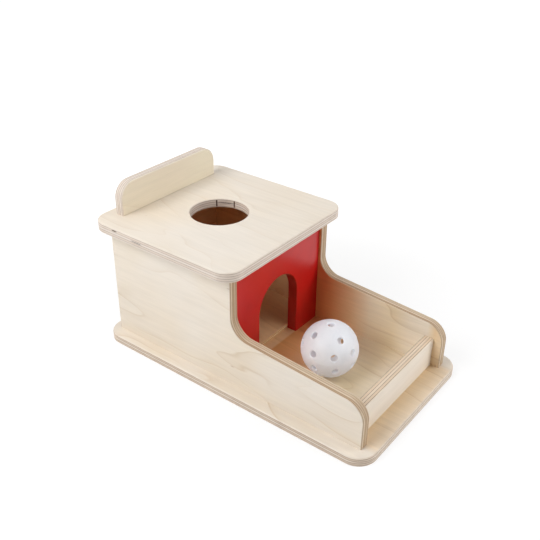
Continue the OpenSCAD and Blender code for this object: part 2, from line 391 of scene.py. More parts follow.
    def gap_shade_material(self) -> Material:
        """Makes the dark inside of a gap in the core plies: painted shade, near black-brown with a lighter
        mottle.

        Returns:
            The gap's material.
        """
        material, tree, place = new_material("birch_core_gap_painted_shade")
        shade_mottle = add_node(tree, "TexNoise", {"Vector": place, "Scale": 1 / (self.streak_across_mm * MM),
                                           "Detail": 2.0})
        colour = add_node(tree, "Mix", [shade_mottle, linear(self.gap), linear(self.gap_shade_mottle)], data_type="RGBA")
        shader = add_node(tree, "BsdfPrincipled", {"Base Color": colour, "Roughness": 0.8})
        add_node(tree, "OutputMaterial", [shader])
        return material

    def plies(self, tree: NodeTree, board: Node, depth: NodeSocket, sheet: Sheet) -> tuple[Node, Node]:
        """Adds the plies, which wander a little through the thickness, as uneven veneers do.

        Args:
            tree: The node tree.
            board: The place along the grain, across it and through the thickness, in millimetres.
            depth: The last of these.
            sheet: Where the board lies in its sheet of plywood.

        Returns:
            The share of glue, and whether the ply's own grain runs across the face grain.
        """
        wander = add_node(tree, "TexNoise", {"Vector": board, "Scale": self.wander_per_mm, "Detail": 1.0})
        drift = add_node(tree, "Math", [wander, self.wander_mm, -self.wander_mm / 2],
                         operation="MULTIPLY_ADD")
        level = add_node(tree, "Math", [depth, drift], operation="ADD")
        share = add_node(tree, "Math", [level, sheet.thickness_mm], operation="DIVIDE")
        half = self.glue_line_mm / sheet.thickness_mm / 2
        bands = [(line + side * half, grey) for line in sheet.glue_lines for side, grey in self.glue_stops]
        turns = [(0.0, 0.0)] + [(line, 0.0 if number % 2 else sheet.crossbands[number // 2])
                                for number, line in enumerate(sheet.glue_lines)]
        glue = add_node(tree, "ValToRGB", [share], stops=bands)
        crosswise = add_node(tree, "ValToRGB", [share], stops=turns)
        crosswise.color_ramp.interpolation = "CONSTANT"
        return glue, crosswise

    def grain(self, tree: NodeTree, board: Node, crosswise: Node) -> tuple[Node, Node]:
        """Adds fibres along each ply's own grain, and the wider streaks of pale and darker summers.

        The fibres are coarser than real ones, so that they show.

        Args:
            tree: The node tree.
            board: The place on the board, in millimetres.
            crosswise: Whether the ply's own grain runs across the face grain.

        Returns:
            The fibres, and the fibres with the streaks.
        """
        long, fine = 1 / self.fibre_along_mm, 1 / self.fibre_across_mm
        stretch = add_node(tree, "Mix", [crosswise, (long, fine, fine), (fine, long, fine)],
                           data_type="VECTOR")
        fibre_place = add_node(tree, "VectorMath", [board, stretch], operation="MULTIPLY")
        fibre = add_node(tree, "TexNoise", {"Vector": fibre_place, "Scale": 1.0, "Detail": 4.0,
                                            "Roughness": 0.62})
        long, fine = 1 / self.streak_along_mm, 1 / self.streak_across_mm
        streak_place = add_node(tree, "VectorMath", [board, (long, fine, fine)], operation="MULTIPLY")
        streak = add_node(tree, "TexNoise", {"Vector": streak_place, "Scale": 1.0, "Detail": 3.0})
        return fibre, add_node(tree, "Mix", [self.streak_share, fibre, streak])

    def figure_lines(self, tree: NodeTree, board: Node, strength: float) -> Node:
        """Adds the figure of rotary-cut veneer: wavy lines, sharp on one side only, that come and go.

        Args:
            tree: The node tree.
            board: The place on the board, in millimetres.
            strength: How strong the lines are on this board.

        Returns:
            The share of the figure's colour.
        """
        place = add_node(tree, "VectorMath", [board, (
            1 / self.figure_along_mm, 1 / self.figure_across_mm,
            self.figure_depth_share / self.figure_across_mm)], operation="MULTIPLY")
        hills = add_node(tree, "TexNoise", {"Vector": place, "Scale": 1.0, "Detail": 2.2,
                                            "Roughness": 0.42, "Distortion": 0.35})
        lean = add_node(tree, "VectorMath", [board, (
            self.figure_lean / self.figure_gap_mm, 1 / self.figure_gap_mm, 0.0)],
            operation="DOT_PRODUCT")
        rings = add_node(tree, "Math", [hills, self.figure_waves, lean], operation="MULTIPLY_ADD")
        ring = add_node(tree, "Math", [rings], operation="FRACT")
        line = add_node(tree, "ValToRGB", [ring], stops=self.figure_stops)
        strong = add_node(tree, "TexNoise", {"Vector": place, "Scale": self.figure_fade_scale,
                                             "Detail": 1.0})
        fade = add_node(tree, "ValToRGB", [strong], stops=self.figure_fade_stops)
        figure = add_node(tree, "Math", [line, fade], operation="MULTIPLY")
        return add_node(tree, "Math", [figure, strength], operation="MULTIPLY")

    def flecks(self, tree: NodeTree, board: Node) -> Node:
        """Adds small brown flecks, a few on each board, drawn out along the grain.

        Args:
            tree: The node tree.
            board: The place on the board, in millimetres.

        Returns:
            The share of the flecks' colour.
        """
        fine = 1 / self.fleck_mm
        place = add_node(tree, "VectorMath", [board, (self.fleck_along_share / self.fleck_mm, fine, fine)],
                         operation="MULTIPLY")
        cells = add_node(tree, "TexVoronoi", {"Vector": place, "Scale": 1.0})
        spot = add_node(tree, "ValToRGB", [cells], stops=self.fleck_stops)
        pick = add_node(tree, "SeparateColor", [cells.outputs["Color"]])
        rare = add_node(tree, "Math", [pick, self.fleck_absence], operation="GREATER_THAN")
        fleck = add_node(tree, "Math", [spot, rare], operation="MULTIPLY")
        return add_node(tree, "Math", [fleck, self.fleck_strength], operation="MULTIPLY")

    def inside(self, tree: NodeTree, place: NodeSocket) -> tuple[Node, Node]:
        """Adds where shade is painted inside the box, the tray and the strip before it, and the painted
        shade's tint along them.

        Args:
            tree: The node tree.
            place: The output with the place on the object, in metres.

        Returns:
            The share of painted shade and its tint.
        """
        x, y, z = add_node(tree, "SeparateXYZ", [place]).outputs
        near, bottom = self.inside_from_mm
        far, wide, top = self.inside_to_mm
        length = add_node(tree, "MapRange", [x, near * MM, far * MM])
        stops = [((place_mm - near) / (far - near), colour) for place_mm, colour in self.shade_tint_at_mm]
        shade_tint = add_node(tree, "ValToRGB", [length], stops=stops)
        width = add_node(tree, "Math", [y], operation="ABSOLUTE")
        share = add_node(tree, "MapRange", [width, (wide - self.inside_edge_mm) * MM,
                                            (wide + self.inside_edge_mm) * MM, 1.0, 0.0])
        for level, limit, test in ((x, near, "GREATER_THAN"), (z, bottom, "GREATER_THAN"),
                                   (z, top, "LESS_THAN")):
            end = add_node(tree, "Math", [level, limit * MM], operation=test)
            share = add_node(tree, "Math", [share, end], operation="MULTIPLY")
        return share, shade_tint


@dataclass(frozen=True)
class RedGlossPaint:
    """Nursery-red gloss paint, rolled on plywood.

    It gives a strong even red with a broad soft sheen, a fine orange peel from the roller, and plies that
    show faintly through the paint on the cut edges of the doorway.
    """

    red: str = "#C51512"
    deep_red: str = "#B81113"
    cloud_mm: float = 34.0
    cloud_stops: Stops = ((0.34, 0.0), (0.68, 1.0))
    peel_mm: float = 2.2
    ply_mm: float = 2.0
    ply_share: float = 0.4
    relief_mm: float = 0.04
    roughness: float = 0.31

    def material(self) -> Material:
        """Makes the paint.

        Returns:
            The paint's material.
        """
        material, tree, place = new_material("red_gloss_paint")
        _, colour = add_mottle(tree, place, self.cloud_mm, self.cloud_stops, (self.red, self.deep_red),
                               Detail=3.0)
        peel = add_node(tree, "TexNoise", {"Vector": place, "Scale": 1 / (self.peel_mm * MM),
                                           "Detail": 1.5})
        split = add_node(tree, "SeparateXYZ", [place])
        plies = add_node(tree, "Math", [split, math.tau / (self.ply_mm * MM)], operation="MULTIPLY")
        ridge = add_node(tree, "Math", [plies], operation="SINE")
        relief = add_node(tree, "Math", [ridge, self.ply_share, peel], operation="MULTIPLY_ADD")
        shader = add_skin(tree, colour, self.roughness, relief, self.relief_mm, strength=0.3, IOR=1.5,
                          Specular_IOR_Level=0.42)
        add_node(tree, "OutputMaterial", [shader])
        return material


@dataclass(frozen=True)
class MouldedPolyethylene:
    """White polyethylene, injection moulded in two halves and welded.

    It is satin and bluish white, and much of the light goes through its thin wall, so the inside shows pale
    through the holes. The skin outside holds most of it back, and what is past that leaves the skin inside.
    The mould leaves a fine texture, and handling leaves dull scuffs.
    """

    white: str = "#FAFCFF"
    scuff: str = "#F3F6FA"
    scuff_mm: float = 9.0
    scuff_stops: Stops = ((0.5, 0.0), (0.75, 1.0))
    wear_levels: tuple[float, float] = (0.3, 0.7)
    roughness: tuple[float, float] = (0.34, 0.46)
    texture_mm: float = 0.8
    relief_mm: float = 0.03

    def material(self, name: str, passed: float) -> Material:
        """Makes the plastic.

        Args:
            name: The material's name.
            passed: The share of the light that goes on through this skin of the wall.

        Returns:
            The plastic's material.
        """
        material, tree, place = new_material(name)
        wear, colour = add_mottle(tree, place, self.scuff_mm, self.scuff_stops, (self.white, self.scuff),
                                  Detail=5.0, Roughness=0.6, Distortion=0.8)
        fine = add_node(tree, "TexNoise", {"Vector": place, "Scale": 1 / (self.texture_mm * MM),
                                           "Detail": 2.0})
        gloss = add_node(tree, "MapRange", [wear, *self.wear_levels, *self.roughness])
        shader = add_skin(tree, colour, gloss, fine, self.relief_mm, strength=0.2, IOR=1.5)
        through = add_node(tree, "BsdfTranslucent", [colour])
        wall = add_node(tree, "MixShader", [passed, shader, through])
        add_node(tree, "OutputMaterial", [wall])
        return material


@dataclass(frozen=True)
class Beech:
    """Unfinished beech, machined: pinkish tan, straight grained, with short brown ray flecks."""

    wood: str = "#D7B48C"
    dark: str = "#BF9566"
    fibre_along_mm: float = 14.0
    fibre_across_mm: float = 0.7
    fibre_scale: float = 0.6
    fibre_share: float = 0.5
    ray_scale: float = 0.45
    ray_stops: Stops = ((0.08, 0.8), (0.2, 0.0))
    roughness: tuple[float, float] = (0.62, 0.78)
    relief_mm: float = 0.06

    def material(self, name: str, lie: Lie) -> Material:
        """Makes the wood with its grain along one axis.

        Args:
            name: What the wood is used for.
            lie: The lie whose first axis is the grain.

        Returns:
            The wood's material.
        """
        material, tree, place = new_material(f"beech_{name}")
        scale = [1 / (self.fibre_across_mm * MM)] * 3
        scale[lie.value[0]] = 1 / (self.fibre_along_mm * MM)
        placed = add_node(tree, "Mapping", {"Vector": place, "Scale": scale})
        fibre = add_node(tree, "TexNoise", {"Vector": placed, "Scale": self.fibre_scale, "Detail": 4.0})
        ray = add_node(tree, "TexVoronoi", {"Vector": placed, "Scale": self.ray_scale})
        dash = add_node(tree, "ValToRGB", [ray], stops=self.ray_stops)
        tone = add_node(tree, "Math", [fibre, self.fibre_share, dash], operation="MULTIPLY_ADD",
                        use_clamp=True)
        colour = add_node(tree, "Mix", [tone, linear(self.wood), linear(self.dark)], data_type="RGBA")
        gloss = add_node(tree, "MapRange", [fibre, 0.0, 1.0, *self.roughness])
        shader = add_skin(tree, colour, gloss, fibre, self.relief_mm, strength=0.3)
        add_node(tree, "OutputMaterial", [shader])
        return material


@dataclass(frozen=True)
class ZincPlatedSteel:
    """Zinc-plated steel, cold formed and dipped: bright blue-grey with a mottled, slightly dull skin."""

    zinc: str = "#C9CDD2"
    dull_zinc: str = "#A9AEB5"
    mottle_mm: float = 1.1
    mottle_stops: Stops = ((0.4, 0.0), (0.65, 1.0))
    roughness: tuple[float, float] = (0.25, 0.5)
    relief_mm: float = 0.02

    def material(self) -> Material:
        """Makes the plated steel.

        Returns:
            The metal's material.
        """
        material, tree, place = new_material("zinc_plated_steel")
        mottle, colour = add_mottle(tree, place, self.mottle_mm, self.mottle_stops,
                                    (self.zinc, self.dull_zinc), Detail=3.0)
        gloss = add_node(tree, "MapRange", [mottle, 0.0, 1.0, *self.roughness])
        shader = add_skin(tree, colour, gloss, mottle, self.relief_mm, strength=0.15, Metallic=1.0)
        add_node(tree, "OutputMaterial", [shader])
        return material


# Modelling by hand


def pick_alone(piece: Object) -> None:
    """Selects one object and nothing else, and makes it the active one.

    Args:
        piece: The object.
    """
    bpy.ops.object.select_all(action="DESELECT")
    piece.select_set(True)
    bpy.context.view_layer.objects.active = piece


def fix_place(piece: Object) -> None:
    """Moves an object's place, turn and size into its mesh."""
    pick_alone(piece)
    bpy.ops.object.transform_apply(location=True, rotation=True, scale=True)


@contextmanager
def editing(piece: Object) -> Iterator[None]:
    """Holds one object in edit mode, alone.

    Args:
        piece: The object.

    Yields:
        Nothing, while the object is in edit mode.
    """
    pick_alone(piece)
    bpy.ops.object.mode_set(mode="EDIT")
    yield
    bpy.ops.object.mode_set(mode="OBJECT")


def add_shape(add: Callable[..., Any], name: str, stretch: Sequence[float] = (1, 1, 1),
              **settings: Any) -> Object:
    """Adds a primitive, to be shaped into a piece.

    Args:
        add: The operator that adds it.
        name: The new object's name.
        stretch: How many times larger it is made along each axis.
        **settings: The operator's settings.

    Returns:
        The new object, with its place in its mesh.
    """
    bpy.ops.object.select_all(action="DESELECT")
    add(**settings)
    shape = bpy.context.active_object
    shape.name = shape.data.name = name
    shape.scale = stretch
    fix_place(shape)
    return shape


def add_block(name: str, low: Vector, high: Vector) -> Object:
    """Adds a block between its lowest and its highest corner."""
    return add_shape(bpy.ops.mesh.primitive_cube_add, name, high - low, size=1, location=(low + high) / 2)


def select(piece: Object, part: Part, test: Callable[[Any], bool]) -> None:
    """Selects the edges or faces of a piece in edit mode that pass a test.

    Args:
        piece: The piece, which is in edit mode.
        part: Whether edges or faces are tested.
        test: Says whether one edge or face is selected.
    """
    bpy.ops.mesh.select_mode(type=part.value)
    bpy.ops.mesh.select_all(action="DESELECT")
    mesh = bmesh.from_edit_mesh(piece.data)
    for element in mesh.edges if part is Part.EDGES else mesh.faces:
        if test(element):
            element.select_set(True)
    bmesh.update_edit_mesh(piece.data)


def edge_along(axis: int, *places: tuple[int, float]) -> EdgeTest:
    """Makes a test for edges that run along one axis at given places on the others.

    Args:
        axis: The axis that the edge runs along.
        *places: Pairs of an axis and a coordinate, in metres, that the edge lies at.

    Returns:
        The test.
    """
    def test(edge: BMEdge) -> bool:
        """Says whether one edge runs along the axis at those places."""
        a, b = (v.co for v in edge.verts)
        return (all(abs(a[i] - b[i]) < TOUCH for i in (X, Y, Z) if i != axis)
                and all(abs(a[i] - place) < TOUCH for i, place in places))
    return test


def edge_in(axis: int, planes: Sequence[float],
            keep: Callable[[Vector], bool] = lambda middle: True) -> EdgeTest:
    """Makes a test for edges that lie in planes square to one axis.

    Args:
        axis: The axis that the planes are square to.
        planes: The planes' coordinates along it, in metres.
        keep: Says from an edge's middle whether it counts.

    Returns:
        The test.
    """
    def test(edge: BMEdge) -> bool:
        """Says whether one edge lies in one of the planes and counts."""
        a, b = (v.co for v in edge.verts)
        return (any(abs(a[axis] - p) < TOUCH and abs(b[axis] - p) < TOUCH for p in planes)
                and keep((a + b) / 2))
    return test


def round_edges(piece: Object, test: EdgeTest, size_mm: float, steps: int) -> None:
    """Rounds the edges of a piece that pass a test.

    Args:
        piece: The piece.
        test: Says whether one edge is rounded.
        size_mm: How far the rounding reaches from the edge along each face.
        steps: How many faces the rounding gets.
    """
    with editing(piece):
        select(piece, Part.EDGES, test)
        bpy.ops.mesh.bevel(offset=size_mm * MM, offset_type="OFFSET", segments=steps, profile=0.5,
                           affect="EDGES", clamp_overlap=True)


def round_plate(plate: Object, low: Vector, high: Vector, corner_mm: float, rim_mm: float,
                under_rim_mm: float) -> None:
    """Rounds the four corners of a flat board, then its upper and its lower rim.

    Args:
        plate: The board.
        low: Its lowest corner.
        high: Its highest corner.
        corner_mm: The radius of its corners in plan.
        rim_mm: The rounding of its upper rim.
        under_rim_mm: The rounding of its lower rim.
    """
    round_edges(plate, edge_along(Z), corner_mm, CORNER_STEPS)
    round_edges(plate, edge_in(Z, (high.z,)), rim_mm, RIM_STEPS)
    round_edges(plate, edge_in(Z, (low.z,)), under_rim_mm, ARRIS_STEPS)


def draw_up(piece: Object, radius_mm: float, height_mm: float,
            rings: Iterable[tuple[float, float]]) -> None:
    """Draws the round top of a piece on the Z axis upwards, ring by ring.

    Args:
        piece: The piece.
        radius_mm: The radius of its top.
        height_mm: The height of its top.
        rings: The radius and the height of each ring that follows.
    """
    with editing(piece):
        for wide, top in rings:
            select(piece, Part.FACES, lambda face: face.normal.z > FACING and
                   abs(face.calc_center_median().z - height_mm * MM) < TOUCH)
            bpy.ops.mesh.extrude_region_move(
                TRANSFORM_OT_translate={"value": (0, 0, (top - height_mm) * MM)})
            grow = wide / radius_mm
            bpy.ops.transform.resize(value=(grow, grow, 1), center_override=(0, 0, 0))
            radius_mm, height_mm = wide, top


def apply_modifier(piece: Object, kind: str, **settings: Any) -> None:
    """Adds a modifier with its settings and applies it.

    Args:
        piece: The piece.
        kind: The modifier's type.
        **settings: The modifier's settings.
    """
    pick_alone(piece)
    modifier = piece.modifiers.new(kind.title(), kind)
    for name, value in settings.items():
        setattr(modifier, name, value)
    bpy.ops.object.modifier_apply(modifier=modifier.name)


def cut_away(piece: Object, cutter: Object) -> None:
    """Cuts one closed shape out of a piece and removes it."""
    apply_modifier(piece, "BOOLEAN", operation="DIFFERENCE", solver="EXACT", object=cutter)
    bpy.data.objects.remove(cutter)


def copies_at(piece: Object, places: Iterable[Matrix]) -> Object:
    """Copies an object to several places, joins the copies and removes the original.

    Args:
        piece: The object that is copied.
        places: Where the copies go.

    Returns:
        The joined copies, with their places in their mesh.
    """
    twins = []
    for place in places:
        twin = piece.copy()
        twin.data = piece.data.copy()
        bpy.context.scene.collection.objects.link(twin)
        twin.matrix_world = place
        fix_place(twin)
        twins.append(twin)
    bpy.data.objects.remove(piece)
    pick_alone(twins[0])
    for twin in twins:
        twin.select_set(True)
    bpy.ops.object.join()
    return bpy.context.active_object


def smooth(piece: Object, angle_deg: float = 32.0, weighted: bool = True) -> None:
    """Shades a finished piece smoothly over its roundings and flat on its faces.

    Args:
        piece: The piece.
        angle_deg: Edges sharper than this stay sharp.
        weighted: Whether large faces stay flat right up to their roundings.
    """
    pick_alone(piece)
    bpy.ops.object.shade_smooth_by_angle(angle=math.radians(angle_deg))
    if weighted:
        apply_modifier(piece, "WEIGHTED_NORMAL", mode="FACE_AREA", keep_sharp=True)


def turn_outwards(piece: Object) -> None:
    """Merges a piece's doubles and turns its faces outwards.

    Args:
        piece: The piece.
    """
    with editing(piece):
        bpy.ops.mesh.select_all(action="SELECT")
        bpy.ops.mesh.remove_doubles(threshold=0.1 * TOUCH)
        bpy.ops.mesh.normals_make_consistent(inside=False)


def coat(piece: Object, material: Material, test: Callable[[BMFace], bool]) -> None:
    """Gives some faces of a finished piece another material.

    Args:
        piece: The piece.
        material: The material, which gets a slot of its own.
        test: Says whether one face gets it.
    """
    piece.data.materials.append(material)
    piece.active_material_index = len(piece.data.materials) - 1
    with editing(piece):
        select(piece, Part.FACES, test)
        bpy.ops.object.material_slot_assign()


@dataclass
class Assembly:
    """One sub-assembly: it makes its pieces, dresses them and sets them on their bodies."""

    pieces: list[Object] = field(default_factory=list, init=False)

    def settle(self, piece: Object, material: Material, node: str, slot: str, body: str = "box") -> None:
        """Finishes a new piece: its material, the node that it stands for and the body that it rides on.

        Args:
            piece: The piece.
            material: Its material.
            node: The CAD node that it replaces.
            slot: The record's material slot. Not used.
            body: The body that it rides on.
        """
        piece.data.materials.clear()
        piece.data.materials.append(material)
        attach(piece, body)
        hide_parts(node)
        self.pieces.append(piece)

    def dress(self, node: str, material: Material, slot: str) -> None:
        """Gives a CAD node that stays its material.

        Args:
            node: The node's name.
            material: Its material.
            slot: The record's material slot. Not used.
        """
        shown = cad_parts[node]
        for place in shown.material_slots:
            place.material = material
        self.pieces.append(shown)


@dataclass
class Woodwork(Assembly):
    """A sub-assembly with plywood boards."""

    plywood: BirchPlywood

    def settle_board(self, board: Object, node: str, lie: Lie, **facts: Any) -> None:
        """Finishes a new board: its shading and its plywood.

        Args:
            board: The board.
            node: The CAD node that it replaces.
            lie: How it lies.
            **facts: Other facts of its sheet of plywood, with a seed that picks the stretch of veneer.
        """
        smooth(board)
        low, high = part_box(node)
        through = lie.value[2]
        sheet = Sheet(node, lie, **{"foot_mm": tuple(c / MM for c in low),
                                    "thickness_mm": (high[through] - low[through]) / MM, **facts})
        self.settle(board, self.plywood.material(sheet), node, "birch_plywood")


@dataclass
class Footing(Woodwork):
    """The base board, which is the tray's floor too, and the countersunk screws that come up through it."""

    steel: ZincPlatedSteel
    corner_mm: float = 17.5
    rim_mm: float = 1.4
    under_rim_mm: float = 0.35
    screw_margin_mm: float = 24.0
    side_screws: int = 4
    head_mm: float = 7.0
    head_sink_mm: float = 0.4
    head_cone_mm: float = 1.75
    shank_mm: float = 3.5
    bore_depth_mm: float = 9.0
    play_mm: float = 0.1

    def screw_places(self) -> list[tuple[float, float]]:
        """Finds where the screws stand, from the boards that they hold.

        A row holds each side board, and two screws hold each board between them, one in the middle of each
        half, or of each side of the doorway.

        Returns:
            Their places in plan, in metres.
        """
        low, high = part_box("left_side_panel")
        side_y = abs(low.y + high.y) / 2
        margin = self.screw_margin_mm * MM
        length = high.x - low.x - 2 * margin
        places = [(low.x + margin + length * i / (self.side_screws - 1), s * side_y)
                  for s in (-1, 1) for i in range(self.side_screws)]
        for node in ("back_panel", "door_panel", "tray_front_wall"):
            low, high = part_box(node)
            opening = Doorway.width_mm * MM if node == "door_panel" else 0.0
            reach = (opening + high.y - low.y) / 4
            places += [((low.x + high.x) / 2, s * reach) for s in (-1, 1)]
        return places

    def build(self) -> None:
        """Models the base board with its round corners, soft rims and countersunk holes."""
        low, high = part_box("base_board")
        board = add_block("base_board_made", low, high)
        round_plate(board, low, high, self.corner_mm, self.rim_mm, self.under_rim_mm)
        bore, head = (width / 2 + self.play_mm for width in (self.shank_mm, self.head_mm))
        sink = add_shape(bpy.ops.mesh.primitive_cylinder_add, "countersink", vertices=48,
                         radius=head * MM, depth=2 * self.head_sink_mm * MM)
        neck = self.head_sink_mm + self.head_cone_mm
        draw_up(sink, head, self.head_sink_mm, ((bore, neck), (bore, neck + self.bore_depth_mm)))
        cut_away(board, copies_at(sink, [Matrix.Translation((x, y, 0)) for x, y in self.screw_places()]))
        self.settle_board(board, "base_board", Lie.FLAT, seed=1.0, figure=0.55)
        self.dress("base_screws", self.steel.material(), "zinc_plated_steel")


@dataclass
class SidePanels(Woodwork):
    """The two L-shaped side boards, each one wall of the box and of the tray."""

    tall_mm: float = 136.5
    low_back_mm: float = 50.0
    low_front_mm: float = 41.0
    hollow_mm: float = 18.0
    nose_mm: float = 17.5
    rim_mm: float = 1.3

    def build(self) -> None:
        """Models both side boards."""
        for node, seed in (("left_side_panel", 2.3), ("right_side_panel", 3.1)):
            self.settle_board(self.side_board(node), node, Lie.SIDE, seed=seed, figure=0.48,
                              glue_lines=(0.08, 0.3, 0.53, 0.78), crossbands=(1.0, 0.35), edge=Edge.TAN)

    def side_board(self, node: str) -> Object:
        """Models one side board: a tall block, with the tray wall drawn out of its front.

        Args:
            node: The board's CAD node.

        Returns:
            The board.
        """
        low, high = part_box(node)
        tall_x = low.x + self.tall_mm * MM
        back_z, front_z = low.z + self.low_back_mm * MM, low.z + self.low_front_mm * MM
        slope = math.atan((back_z - front_z) / (high.x - tall_x))
        board = add_block(f"{node}_made", low, Vector((tall_x, high.y, high.z)))
        with editing(board):
            bpy.ops.mesh.select_all(action="SELECT")
            bpy.ops.mesh.bisect(plane_co=(0, 0, back_z), plane_no=(0, 0, 1))
            select(board, Part.FACES, lambda face: face.normal.x > FACING and
                   face.calc_center_median().z < back_z)
            bpy.ops.mesh.extrude_region_move(TRANSFORM_OT_translate={"value": (high.x - tall_x, 0, 0)})
            select(board, Part.EDGES, edge_along(Y, (X, high.x), (Z, back_z)))
            bpy.ops.transform.translate(value=(0, 0, front_z - back_z))
        reach = 1 / math.tan(math.radians(45) + slope / 2)
        round_edges(board, edge_along(Y, (X, tall_x), (Z, back_z)), self.hollow_mm * reach, CORNER_STEPS)
        round_edges(board, edge_along(Y, (X, high.x), (Z, front_z)), self.nose_mm * reach, CORNER_STEPS)
        outer_y = low.y if low.y < 0 else high.y

        def shown(middle: Vector) -> bool:
            """Leaves out the edges that butt against the base, the top board and the back panel."""
            inner_back = middle.x < low.x + TOUCH and abs(middle.y - outer_y) > TOUCH
            return low.z + TOUCH < middle.z < high.z - TOUCH and not inner_back

        round_edges(board, edge_in(Y, (low.y, high.y), shown), self.rim_mm, RIM_STEPS)
        return board


@dataclass
class Doorway(Woodwork):
    """The painted door panel with its arch, and the back panel, ramp and batten behind it."""

    paint: RedGlossPaint
    beech: Beech
    steel: ZincPlatedSteel
    width_mm: float = 55.0
    arch_mm: float = 73.0
    rim_mm: float = 0.8
    rim_margin_mm: float = 0.3
    arris_mm: float = 0.25
    ramp_mm: float = 4.0
    ramp_slope_deg: float = 6.5
    ramp_nose_mm: float = 0.5

    def build(self) -> None:
        """Models the panels and the ramp, and dresses the fixings."""
        self.door_panel()
        self.back_panel()
        self.ramp()
        self.dress("ramp_batten", self.beech.material("batten", Lie.CROSS), "beech")
        self.dress("ramp_pins", self.steel.material(), "zinc_plated_steel")
        for node in ("back_panel_dowels", "door_panel_dowels", "front_wall_dowels"):
            self.dress(node, self.beech.material(node, Lie.CROSS), "beech")

    def door_panel(self) -> None:
        """Models the door panel: a board with an arched doorway cut out and its rims softened."""
        low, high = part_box("door_panel")
        panel = add_block("door_panel_made", low, high)
        half = self.width_mm * MM / 2
        spring = low.z + self.arch_mm * MM - half
        centre = Vector(((low.x + high.x) / 2, 0, spring))
        arch = add_shape(bpy.ops.mesh.primitive_cylinder_add, "arch", vertices=96, radius=half,
                         depth=3 * OVERRUN, location=centre, rotation=(0, math.pi / 2, 0))
        with editing(arch):
            bpy.ops.mesh.select_all(action="SELECT")
            bpy.ops.mesh.bisect(plane_co=centre, plane_no=(0, 0, 1), clear_inner=True, use_fill=True)
            select(arch, Part.FACES, lambda face: face.normal.z < -FACING)
            bpy.ops.mesh.extrude_region_move(
                TRANSFORM_OT_translate={"value": (0, 0, low.z - spring - OVERRUN)})
        turn_outwards(arch)
        cut_away(panel, arch)

        def on_arch(middle: Vector) -> bool:
            """Keeps the edges of the doorway, above the base board."""
            away = Vector((0, middle.y, max(middle.z, spring) - spring)).length
            return abs(away - half) < self.rim_margin_mm * MM and middle.z > low.z + TOUCH

        round_edges(panel, edge_in(X, (low.x, high.x), on_arch), self.rim_mm, SOFT_STEPS)
        smooth(panel)
        self.settle(panel, self.paint.material(), "door_panel", "red_gloss_paint")

    def back_panel(self) -> None:
        """Models the back panel, with the fine arrises that show as joint lines."""
        panel = add_block("back_panel_made", *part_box("back_panel"))
        round_edges(panel, lambda edge: True, self.arris_mm, ARRIS_STEPS)
        self.settle_board(panel, "back_panel", Lie.CROSS, seed=4.2)

    def ramp(self) -> None:
        """Models the ramp board, which rises from the doorway to the back panel."""
        low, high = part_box("ramp_board")
        slope = math.radians(self.ramp_slope_deg)
        lip = self.ramp_mm * MM / math.cos(slope)
        board = add_block("ramp_board_made", low, Vector((high.x, high.y, low.z + lip)))
        with editing(board):
            select(board, Part.FACES, lambda face: face.normal.x < -FACING)
            bpy.ops.transform.translate(value=(0, 0, high.z - low.z - lip))
        round_edges(board, edge_along(Y, (X, high.x), (Z, low.z + lip)), self.ramp_nose_mm, ARRIS_STEPS)
        self.settle_board(board, "ramp_board", Lie.FLAT, seed=5.4, thickness_mm=self.ramp_mm, tilt=slope,
                          foot_mm=(high.x / MM, 0.0, low.z / MM), glue_lines=(0.28, 0.72), edge=Edge.BARE)


@dataclass(frozen=True)
class CoreGap:
    """A small hollow in the core plies that a saw cut has opened."""

    place_mm: tuple[float, float, float]
    size_mm: tuple[float, float, float]
    turn_deg: float
    slack: float = 1.05

    def holds(self, place: Vector) -> bool:
        """Says whether a place, in metres, is on the hollow's surface or inside it."""
        away = Matrix.Rotation(math.radians(-self.turn_deg), 3, "Z") @ (place / MM - Vector(self.place_mm))
        return Vector(a / b for a, b in zip(away, self.size_mm)).length < self.slack


